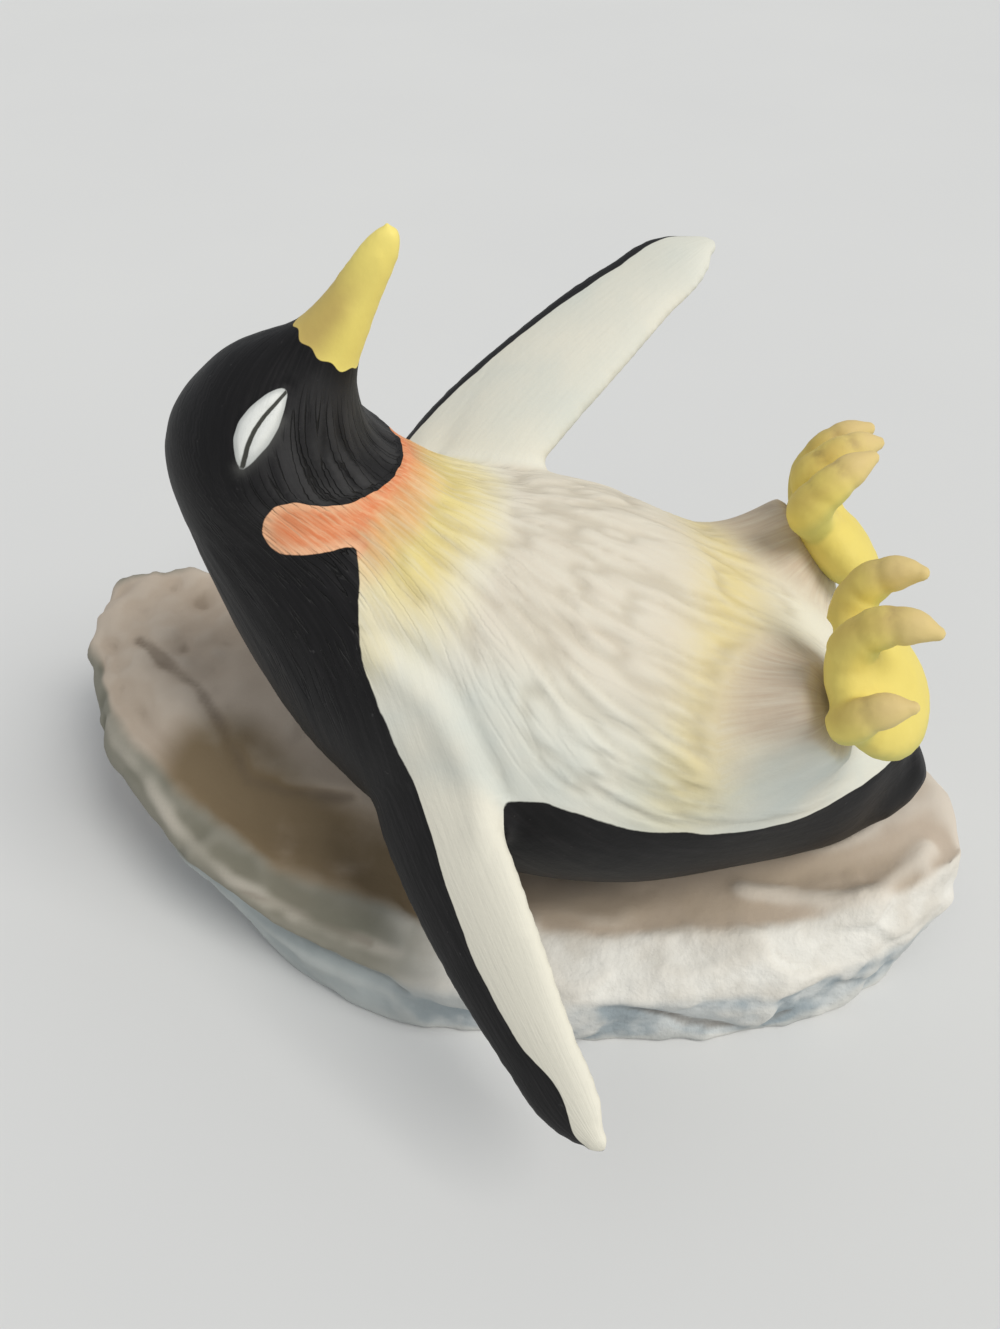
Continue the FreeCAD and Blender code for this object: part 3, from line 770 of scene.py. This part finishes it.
def make_foot(side):
    middle, radii, stands = FEET[side]
    sole = SOLE @ Matrix.Translation(middle)
    forms = [toe(middle, *stand) for stand in stands]
    foot = Skin([ball(sole, radii)] + [t.skin(28, root=0.8, tip=1.0) for t in forms], FOOT_GRAIN)
    toes = [t.chart(foot.points) for t in forms]
    near = np.array([t[2] for t in toes])
    local = np.array([(sole.inverted() @ Vector(p))[:] for p in foot.points])
    sole_gap = (np.linalg.norm(local / radii, axis=1) - 1) * radii[2]
    seam = np.minimum(np.abs(np.sort(near, axis=0)[1]), np.abs(sole_gap) + np.abs(near.min(0)))
    foot.relax(ramp(seam, 3, 0.5), 24)
    before_tip = np.choose(near.argmin(0), [f.length - t[0] for t, f in zip(toes, forms)])
    on_toe = ramp(near.min(0) - sole_gap, 1, -2)
    normals = foot.normals()
    knuckles = sum(bell(before_tip - k, 0.8) for k in KNUCKLES)
    foot.raised(-0.18 * knuckles * on_toe + 0.1 * layered(foot.points / 2.5, 51))
    foot.marks = {
        # Painted shade: a darker, greener yellow on the faces turned sideways and down
        "green": ramp(normals[:, 2] - 0.4 * normals[:, 0], 0.1, -0.5) * 0.8,
        "dimple": on_toe * np.clip(knuckles, 0, 1) * ramp(normals[:, 2], 0.4, 0.9),
        "olive": on_toe * ramp(normals[:, 2] - 0.3 * normals[:, 0], 0.0, 0.9),
        "claw": on_toe * ramp(before_tip, 8, 2),
    }
    if side == "left":
        foot.points[:, 1] *= -1
        foot.faces = [f[::-1] for f in foot.faces]
        foot.mesh.flip_normals()
    return foot.piece(side + "_foot_skin")


# ---- rock

# x, near side, far side, underside, girth, heights above the seat of the near and far brow,
# the low tier's inset and height, and places and heights of the inner slab's trough and ridge
ROCK = [(-86, 22, 36, 24, 31, 15, 18, 1, 28, 26, 15.5, 29, 17.5),
        (-78, -1, 41, 18, 26, 12.5, 20, 2, 22, 9, 13, 15, 17),
        (-62, -17, 45, 10, 20, 7, 19, 3, 15, -5, 7.5, 3, 14),
        (-42, -29.5, 47, 0, 16, 2.5, 15, 6, 8, -13, 1.5, -5, 10),
        (-16, -38.5, 48, 0, 14, 2, 10, 1.5, 10, -22, 0.5, -10, 4),
        (14, -38.5, 47, 0, 12, 1.5, 6, 0.5, 8, -20, 0.5, -8, 1.5),
        (44, -34, 41, 0, 12, 2.5, 6, 0.5, 8, -16, 1.5, -7, 4),
        (66, -23, 26, 0, 14, 4.5, 7, 1, 9, -11, 3.5, -4, 7.5),
        (77, -11, 5, 8, 17, 6, 7, 1, 12, -6.5, 5, -3, 7)]
BROW_SHARE = 0.11
ROCK_GRAIN = 0.9


def rock_section(x, near, far, under, girth, near_rise, far_rise, inset, tier, trough,
                 trough_rise, ridge, ridge_rise):
    """The corners of one cut across the rock, round from its near foot to its far foot."""
    brow = (far - near) * BROW_SHARE
    outline = ((near + inset, under), (near + inset, tier), (near, girth),
               (near + brow, SEAT_HEIGHT + near_rise), (trough, SEAT_HEIGHT + trough_rise),
               (ridge, SEAT_HEIGHT + ridge_rise), (far - brow, SEAT_HEIGHT + far_rise),
               (far, girth), (far, under))
    return [(x, y, z) for y, z in outline]


def rock_form():
    points = [corner for row in ROCK for corner in rock_section(*row)]
    count, corners = len(points), len(points) // len(ROCK)
    faces = [(a, d, c, b) for a, b, c, d in walls(len(ROCK), corners)]
    faces += [range(corners), range(count - 1, count - corners - 1, -1)]
    return np.array(points, float), faces


def facets(points, size, seed, soft):
    """Height of broken flat faces: each cell of the stone tilts its own way."""
    p = points / size
    cell = np.floor(p).astype(np.int64)
    near, height = [], []
    for step in itertools.product((-1, 0, 1), repeat=3):
        at = cell + step
        draw = np.column_stack([lattice(*at.T, seed + k) for k in range(6)])
        off = p - (at + 0.5 + 0.45 * draw[:, :3])
        near.append(np.linalg.norm(off, axis=1))
        height.append((off * draw[:, 3:]).sum(1))
    near, height = np.array(near), np.array(height)
    weight = np.exp(-(near - near.min(0)) / soft)
    return (weight * height).sum(0) / weight.sum(0) * size


def nested(skin, hull, slack=0.15):
    """Push a skin's points down to clear the hull above them."""
    tree = BVHTree.FromPolygons([tuple(p) for p in hull.points], hull.faces)
    low, high = hull.points.min(0), hull.points.max(0)
    up = Vector((0, 0, 1))
    over = np.all((skin.points[:, :2] > low[:2]) & (skin.points[:, :2] < high[:2]), axis=1)
    for i in np.flatnonzero(over):
        x, y, z = skin.points[i]
        hit = tree.ray_cast(Vector((x, y, -1)), up)[0]
        if hit is not None:
            skin.points[i, 2] = min(z, hit.z - slack)


# Lines of the stone, as the points they run through
TIER_CREASE = [(-54, -20, 12), (-44, -26.5, 11), (-32, -32, 10.5), (-18, -37, 11)]
SLAB_EDGE = [(-76, 18, 36), (-69, 13, 35), (-62, 9, 34), (-57, 3, 32), (-53, -2, 29), (-50, -6, 26),
             (-43, -8, 26), (-37, -8, 26), (-31, -8, 26)]
RIM_GROOVE = [(-55, -21, 19), (-50, -24, 18.5), (-41, -26, 18), (-33, -29, 18), (-24, -32, 17.5)]
FRONT_CRACK = [(5, -37, 13), (13, -37, 12.5), (22, -37, 10), (31, -36, 4.5), (40, -34, 2.5),
               (48, -31, 4)]
END_RIDGE = [(38, -18, 20.5), (48, -19.5, 21.5), (55, -20, 22), (61, -18, 22.5), (70, -9, 24)]
OUTER_RIM = [(-78, 3, 30), (-70, -6, 27), (-61, -15, 22.5), (-50, -23, 19.5), (-31, -31, 18),
             (-19, -34, 18)]
# Height and half width of the carved lines and the raised ones, in mm
STONE_LINES = [(-1.2, 1.1, TIER_CREASE), (-1.1, 1.3, SLAB_EDGE), (-0.6, 0.9, RIM_GROOVE),
               (-1.0, 0.8, FRONT_CRACK), (1.5, 2.0, END_RIDGE), (0.8, 2.0, OUTER_RIM)]
# The brown hollow at the left, and a tan band along the top's near side
BASIN = [(-55, -6, 27), (-48, -11, 24), (-43, -14, 21), (-33, -19, 21), (-21, -24, 21),
         (-10, -24, 20.5)]
NEAR_BAND = [(4, -23, 20), (22, -23, 20), (34, -21, 21), (45, -15.5, 21), (53, -13, 22),
             (62, -14, 22.5)]
# Where the low tier stands out at the near left, and how far
TIER_X, TIER_SPREAD, TIER_PUSH = -34, 15, np.array((-1.5, -3.5, 0))


def past_brow(base):
    """How far each point lies outside the rock's top, in mm."""
    x, near, far = np.array(ROCK).T[:3]
    brow = (far - near) * BROW_SHARE
    near_brow, far_brow = (np.interp(base[:, 0], x, y) for y in (near + brow, far - brow))
    return np.maximum(near_brow - base[:, 1], base[:, 1] - far_brow)


def make_rock():
    rock = Skin([rock_form()], ROCK_GRAIN)
    rock.relax(np.ones(len(rock.points)), 9)
    base = rock.points.copy()
    normals = rock.normals()
    skirt = past_brow(base)
    top = ramp(skirt, 0, -4)
    left, right = ramp(base[:, 0], -48, -66), ramp(base[:, 0], -26, -4)
    corner = left * ramp(base[:, 1], -4, 12)
    side = 1 - top * (1 - 0.5 * left)
    broad = facets(base * (0.6, 0.7, 1.15), 9, 4, 0.05)
    broad = np.maximum(broad * (0.07 + 0.26 * side * (0.25 + 0.75 * right)), -0.5)
    rough = facets(base, 4.8, 23, 0.07)
    rough = np.maximum(rough * (0.03 + 0.12 * side * np.maximum(right, corner)), -0.2)
    lumps = corner * 1.3 * layered(base / 6, 71, 3) + 0.12 * layered(base / 4, 61)
    strength = np.clip(0.9 + 0.4 * noise(base / 8, 83), 0.3, 1.3)
    stray = 0.6 * layered(base / 5, 87, 2)
    lines = [height * strength * bell(path_gap(base, path) + stray, width)
             for height, width, path in STONE_LINES]
    height = broad + rough + lumps + sum(lines) - 0.2 + left
    tier = bell(base[:, 0] - TIER_X, TIER_SPREAD) * side
    rock.points += (tier * ramp(base[:, 2], 11.5, 8.5))[:, None] * TIER_PUSH
    step = normals * height[:, None]
    step[:, 2] *= ramp(base[:, 2], 0.2, 2.5)
    rock.points += step
    rock.relax(np.ones(len(rock.points)), 1)
    rock.points[:, 2] -= 0.3 * ramp(base[:, 2], 6, 1)
    nested(rock, bird)
    rock.points[:, 2] = np.maximum(rock.points[:, 2], 0)
    normals = rock.normals()
    fine = softened(rock, rock.points, 10)
    broadly = softened(rock, fine, 70)
    rock.marks = {
        "skirt": skirt,
        "height": base[:, 2],
        "pale": right,
        "relief": ((rock.points - fine) * normals).sum(1),
        "swell": ((fine - broadly) * normals).sum(1),
        # The carved lines' depth, for painted shade along them, and the raised lines' height, for a
        # painted highlight
        "crease": sum(np.minimum(line, 0) for line in lines),
        "ridge": sum(np.maximum(line, 0) for line in lines),
        "basin": ramp(path_gap(base, BASIN), 15, 7),
        "band": bell(path_gap(base, NEAR_BAND), 5.5),
    }
    return rock.piece("rock_base_skin")


# ---- materials

class Recipe:
    """A node material, put together step by step."""

    def __init__(self, name, roughness):
        self.material = bpy.data.materials.new(name)
        self.material.use_nodes = True
        self.tree = self.material.node_tree
        self.shader = self.tree.nodes["Principled BSDF"]
        self.shader.inputs["Roughness"].default_value = roughness
        self.shader.inputs["Specular IOR Level"].default_value = 0.25

    def node(self, kind, **settings):
        node = self.tree.nodes.new(kind)
        for name, value in settings.items():
            setattr(node, name, value)
        return node

    def feed(self, socket, value):
        """Give a socket a link, a number, a mark by its name or a colour as seen, 0-255."""
        if isinstance(value, str):
            value = self.mark(value)
        if isinstance(value, bpy.types.NodeSocket):
            self.tree.links.new(value, socket)
        elif socket.type == "RGBA" and len(value) == 3:
            socket.default_value = (*map(linear, value), 1)
        else:
            socket.default_value = value

    def mark(self, name, kind="Fac"):
        return self.node("ShaderNodeAttribute", attribute_name=name).outputs[kind]

    def math(self, operation, *values):
        node = self.node("ShaderNodeMath", operation=operation)
        for socket, value in zip(node.inputs, values):
            self.feed(socket, value)
        return node.outputs[0]

    def times(self, value, *factors):
        return self.math("MULTIPLY", value, self.times(*factors)) if factors else value

    def plus(self, a, b):
        return self.math("ADD", a, b)

    def rise(self, value, low, high):
        """What ramp does, as a node."""
        node = self.node("ShaderNodeMapRange", interpolation_type="SMOOTHSTEP")
        for key, v in (("Value", value), ("From Min", low), ("From Max", high)):
            self.feed(node.inputs[key], v)
        return node.outputs["Result"]

    def noise(self, scale, vector=None, detail=3, stretch=None):
        node = self.node("ShaderNodeTexNoise")
        for key, value in (("Scale", scale), ("Detail", detail), ("Roughness", 0.55)):
            node.inputs[key].default_value = value
        if vector is None:
            vector = self.node("ShaderNodeTexCoord").outputs["Object"]
        if stretch:
            mapping = self.node("ShaderNodeMapping")
            self.feed(mapping.inputs["Vector"], vector)
            mapping.inputs["Scale"].default_value = stretch
            vector = mapping.outputs[0]
        self.feed(node.inputs["Vector"], vector)
        return node.outputs["Fac"]

    def mix(self, share, a, b, kind="MIX"):
        node = self.node("ShaderNodeMix", data_type="RGBA", blend_type=kind)
        for number, value in ((0, share), (6, a), (7, b)):
            self.feed(node.inputs[number], value)
        return node.outputs[2]

    def coats(self, colour, *coats):
        """A colour under coats of others, each given after its share."""
        for share, coat in coats:
            colour = self.mix(share, colour, coat)
        return colour

    def shaded(self, share, colour, shade):
        """The colour, darkened by a shade that it is multiplied with."""
        return self.mix(share, colour, self.mix(1.0, colour, shade, "MULTIPLY"))

    def bump(self, height, distance, strength=1.0, after=None):
        node = self.node("ShaderNodeBump")
        node.inputs["Strength"].default_value = strength
        node.inputs["Distance"].default_value = distance
        self.feed(node.inputs["Height"], height)
        if after is not None:
            self.feed(node.inputs["Normal"], after)
        return node.outputs["Normal"]

    def finish(self, colour, roughness=None, normal=None):
        for key, value in (("Base Color", colour), ("Roughness", roughness), ("Normal", normal)):
            if value is not None:
                self.feed(self.shader.inputs[key], value)
        return self.material


def linear(value):
    """A brightness as seen, 0-255, to the share of light that nodes use."""
    return value / 255 / 12.92 if value <= 10 else ((value / 255 + 0.055) / 1.055) ** 2.4


def plumage():
    r = Recipe("painted_bisque", 0.72)
    grit, cloud = r.noise(900, detail=2), r.noise(55)
    brush = r.noise(1.0, r.mark("flow", "Vector"), stretch=(0.12, 1.3, 1))
    edge = r.times(r.math("SUBTRACT", r.noise(330), 0.5), 0.35)
    apricot = r.mix(r.rise(brush, 0.3, 0.7), (236, 172, 130), (226, 134, 88))
    colour = r.coats(
        r.mix(cloud, (236, 231, 214), (228, 224, 208)),
        # painted shade, a bluish grey, on the lower flanks, the legs' undersides and the far wing
        (r.times("cool", r.rise(cloud, 0.1, 0.9)), (206, 214, 209)),
        (r.times("tan", r.rise(brush, -0.6, 1.2), 0.5), (204, 186, 166)),
        (r.times("gold", r.rise(brush, -0.2, 0.65)), (230, 212, 142)),
        (r.times("rust", r.rise(brush, -0.5, 1.1), 0.9), (192, 168, 146)),
        (r.times("orange", r.rise(brush, -0.2, 0.5)), apricot),
        (r.times("rim", 0.7), (240, 192, 152)))
    # Darker paint and painted shade in the feather grooves of the light plumage
    colour = r.shaded(r.times("comb", 0.3), colour, (178, 168, 150))
    ink = r.coats(
        r.mix(r.rise(brush, 0.4, 0.8), (14, 13, 14), (32, 30, 31)),
        ("sheen", (50, 49, 49)),
        # darker paint and painted shade in the grooves of the black
        (r.times("strand", 0.8), (16, 15, 16)),
        (r.times(r.rise(grit, 0.7, 0.8), 0.4), (78, 76, 76)),
        (r.times("smudge", 0.35), (110, 110, 106)))
    black = r.rise(r.plus("dark", edge), -0.10, 0.10)
    lid = r.rise(r.plus("lid", r.times(edge, 0.4)), -0.08, 0.08)
    slit = r.times(r.rise(r.math("ABSOLUTE", "slit"), 0.36, 0.20), lid)
    bill = r.rise(r.plus("bill", r.times(edge, 0.5)), -0.08, 0.08)
    horn = r.mix(cloud, (250, 233, 136), (246, 224, 116))
    horn = r.mix(r.times("horn", r.rise(cloud, 0.1, 0.7)), horn, (206, 180, 104))
    swollen = r.mix(r.rise("lid", 0.0, 0.9), (196, 198, 194), (230, 231, 226))
    colour = r.coats(colour, (black, ink), (lid, swollen), (slit, (66, 66, 60)), (bill, horn))
    furrow = r.noise(1.0, r.mark("flow", "Vector"), 1, stretch=(0.075, 0.62, 1))
    line = r.math("ABSOLUTE", r.math("SUBTRACT", furrow, 0.5))
    wide = r.math("MULTIPLY_ADD", black, -0.065, 0.1)
    hair = r.times(r.rise(line, wide, 0.0), "crisp")
    # Darker paint and painted shade along the fine furrow lines, mostly on the black
    drawn = r.times(hair, r.math("MULTIPLY_ADD", black, 0.65, 0.03))
    colour = r.shaded(drawn, colour, (120, 112, 100))
    depth = r.times(hair, r.math("MULTIPLY_ADD", black, -0.4, -0.6))
    normal = r.bump(r.times(brush, "combed"), 0.00012, 0.7, r.bump(grit, 0.00005))
    rough = r.mix(black, (0.78, 0.78, 0.78, 1), (0.56, 0.56, 0.56, 1))
    return r.finish(colour, rough, r.bump(depth, 0.0003, 0.9, normal))


def foot_paint():
    r = Recipe("painted_feet", 0.62)
    olive = r.times("olive", r.rise(r.noise(140), 0.0, 0.8))
    spots = r.times("dimple", r.rise(r.noise(420), 0.35, 0.7))
    colour = r.coats(
        r.mix(r.noise(120), (240, 222, 124), (231, 210, 110)),
        # painted shade, a greener yellow, on the faces turned sideways and down
        ("green", (206, 200, 112)),
        (r.times(olive, 0.75), (202, 172, 98)),
        (r.times(spots, 0.6), (140, 112, 70)),
        (r.times("claw", 0.7), (224, 198, 144)))
    return r.finish(colour, None, r.bump(r.noise(900, detail=2), 0.00005))


def rock_paint():
    r = Recipe("painted_rock", 0.85)
    cloud, patch = r.noise(32, detail=4), r.noise(90)
    relief, pale = r.mark("relief"), r.mark("pale")
    off_middle = r.math("SUBTRACT", cloud, 0.5)
    low = r.rise(r.plus("swell", r.times(off_middle, 0.4)), 0.0, -0.6)
    top = r.coats(
        r.mix(r.rise(cloud, 0.3, 0.7), (206, 191, 173), (192, 175, 156)),
        (r.times(low, 0.35), (164, 145, 124)),
        (r.times("basin", r.rise(patch, -0.2, 0.5)), (137, 119, 92)))
    white = r.mix(r.rise(patch, 0.35, 0.65), (236, 233, 224), (214, 209, 198))
    # At the left the side is a darker grey-green, its own colour deepened as painted shade of the
    # side turned from the light; at the right it is white
    side = r.mix(pale, r.mix(cloud, (140, 132, 115), (114, 116, 103)), white)
    blue = r.mix(r.rise(patch, 0.4, 0.6), (158, 168, 172), (206, 209, 207))
    foot = r.mix(pale, r.mix(patch, (150, 157, 156), (196, 202, 200)), blue)
    ragged = r.times(off_middle, 9)
    # Painted highlight: paler on the raised bits of the stone, most at the right
    raised_highlight = r.rise(r.plus(relief, r.times("swell", 0.25)), 0.05, 0.5)
    colour = r.coats(
        r.mix(r.rise(r.plus("skirt", ragged), -1.5, 1.5), top, side),
        (r.rise(r.plus("height", ragged), 14.8, 12.0), foot),
        (r.times(raised_highlight, r.math("MULTIPLY_ADD", pale, 0.3, 0.12)), (232, 226, 214)))
    # Painted shade: darker in the small hollows of the stone's surface
    hollow = r.times(r.rise(relief, -0.15, -0.6), 0.4)
    band = r.times("band", r.rise(patch, 0.1, 0.6))
    colour = r.coats(
        r.shaded(hollow, colour, (176, 168, 160)),
        (r.times(band, 0.6), (184, 166, 142)),
        # Painted highlight along the raised lines and painted shade along the carved ones
        (r.times(r.rise("ridge", 0.2, 1.0), 0.5), (230, 220, 205)),
        (r.times(r.rise("crease", -0.1, -1.0), 0.5), (112, 98, 84)))
    crumbs = r.times(r.noise(210, detail=4), r.times(pale, r.rise("skirt", -4, 1)))
    return r.finish(colour, None, r.bump(crumbs, 0.0016, 0.55, r.bump(r.noise(700), 0.00008)))


# ---- pieces

def dressed(piece, node, material):
    piece.data.materials.append(material)
    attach(piece, "root")
    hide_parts(*node)


plumage_material, foot_material = plumage(), foot_paint()
face_owner = np.array([np.bincount(WHOSE[list(f)]).argmax() for f in bird.faces])
for number, node in enumerate(PIECES):
    flow = flow_lines(LIMBS[number - 3] if number > 2 else "body")
    bird.marks["flow"] = np.column_stack([*flow, np.zeros(len(ALONG))])
    piece = bird.piece(node + "_skin", face_owner == number)
    dressed(piece, [node], plumage_material)
for side in FEET:
    dressed(make_foot(side), [side + "_foot"], foot_material)
dressed(make_rock(), ["rock_base"], rock_paint())

# ---- camera, light and floor

EYE = (6.5, -131.2, 178.0)
LOOK_DOWN, LOOK_LEFT = math.radians(43.5), math.radians(5)
FOCAL_PIXELS, PICTURE = 1100, (1000, 1329)


def make_camera():
    data = bpy.data.cameras.new("camera")
    data.sensor_fit, data.sensor_width, data.sensor_height = "AUTO", 36, 36
    data.lens = FOCAL_PIXELS / max(PICTURE) * 36
    data.clip_start, data.clip_end = 0.01, 10
    camera = placed("camera", data)
    camera.location = Vector(EYE) * MM
    camera.rotation_euler = (math.pi / 2 - LOOK_DOWN, 0, LOOK_LEFT)
    bpy.context.scene.camera = camera


def make_window():
    """Parallel light from above the right, softened by its spread."""
    data = bpy.data.lights.new("window", "SUN")
    data.energy, data.angle, data.color = 1.9, math.radians(32), (1, 0.985, 0.95)
    lamp = placed("window", data)
    lamp.location = (0.5, -0.25, 0.8)
    lamp.rotation_euler = (-lamp.location).to_track_quat("-Z", "Y").to_euler()


def make_floor():
    floor = mesh_object("floor", [(-3, -3, 0), (3, -3, 0), (3, 3, 0), (-3, 3, 0)], [range(4)])
    r = Recipe("floor", 0.9)
    floor.data.materials.append(r.finish(r.mix(r.noise(6), (222, 222, 220), (216, 216, 215))))


def make_world():
    world = bpy.data.worlds.new("world")
    world.use_nodes = True
    inputs = world.node_tree.nodes["Background"].inputs
    inputs["Color"].default_value = (0.93, 0.96, 1, 1)
    inputs["Strength"].default_value = 0.5
    bpy.context.scene.world = world


make_camera()
make_world()
make_floor()
make_window()
bpy.context.scene.view_settings.view_transform = "Standard"
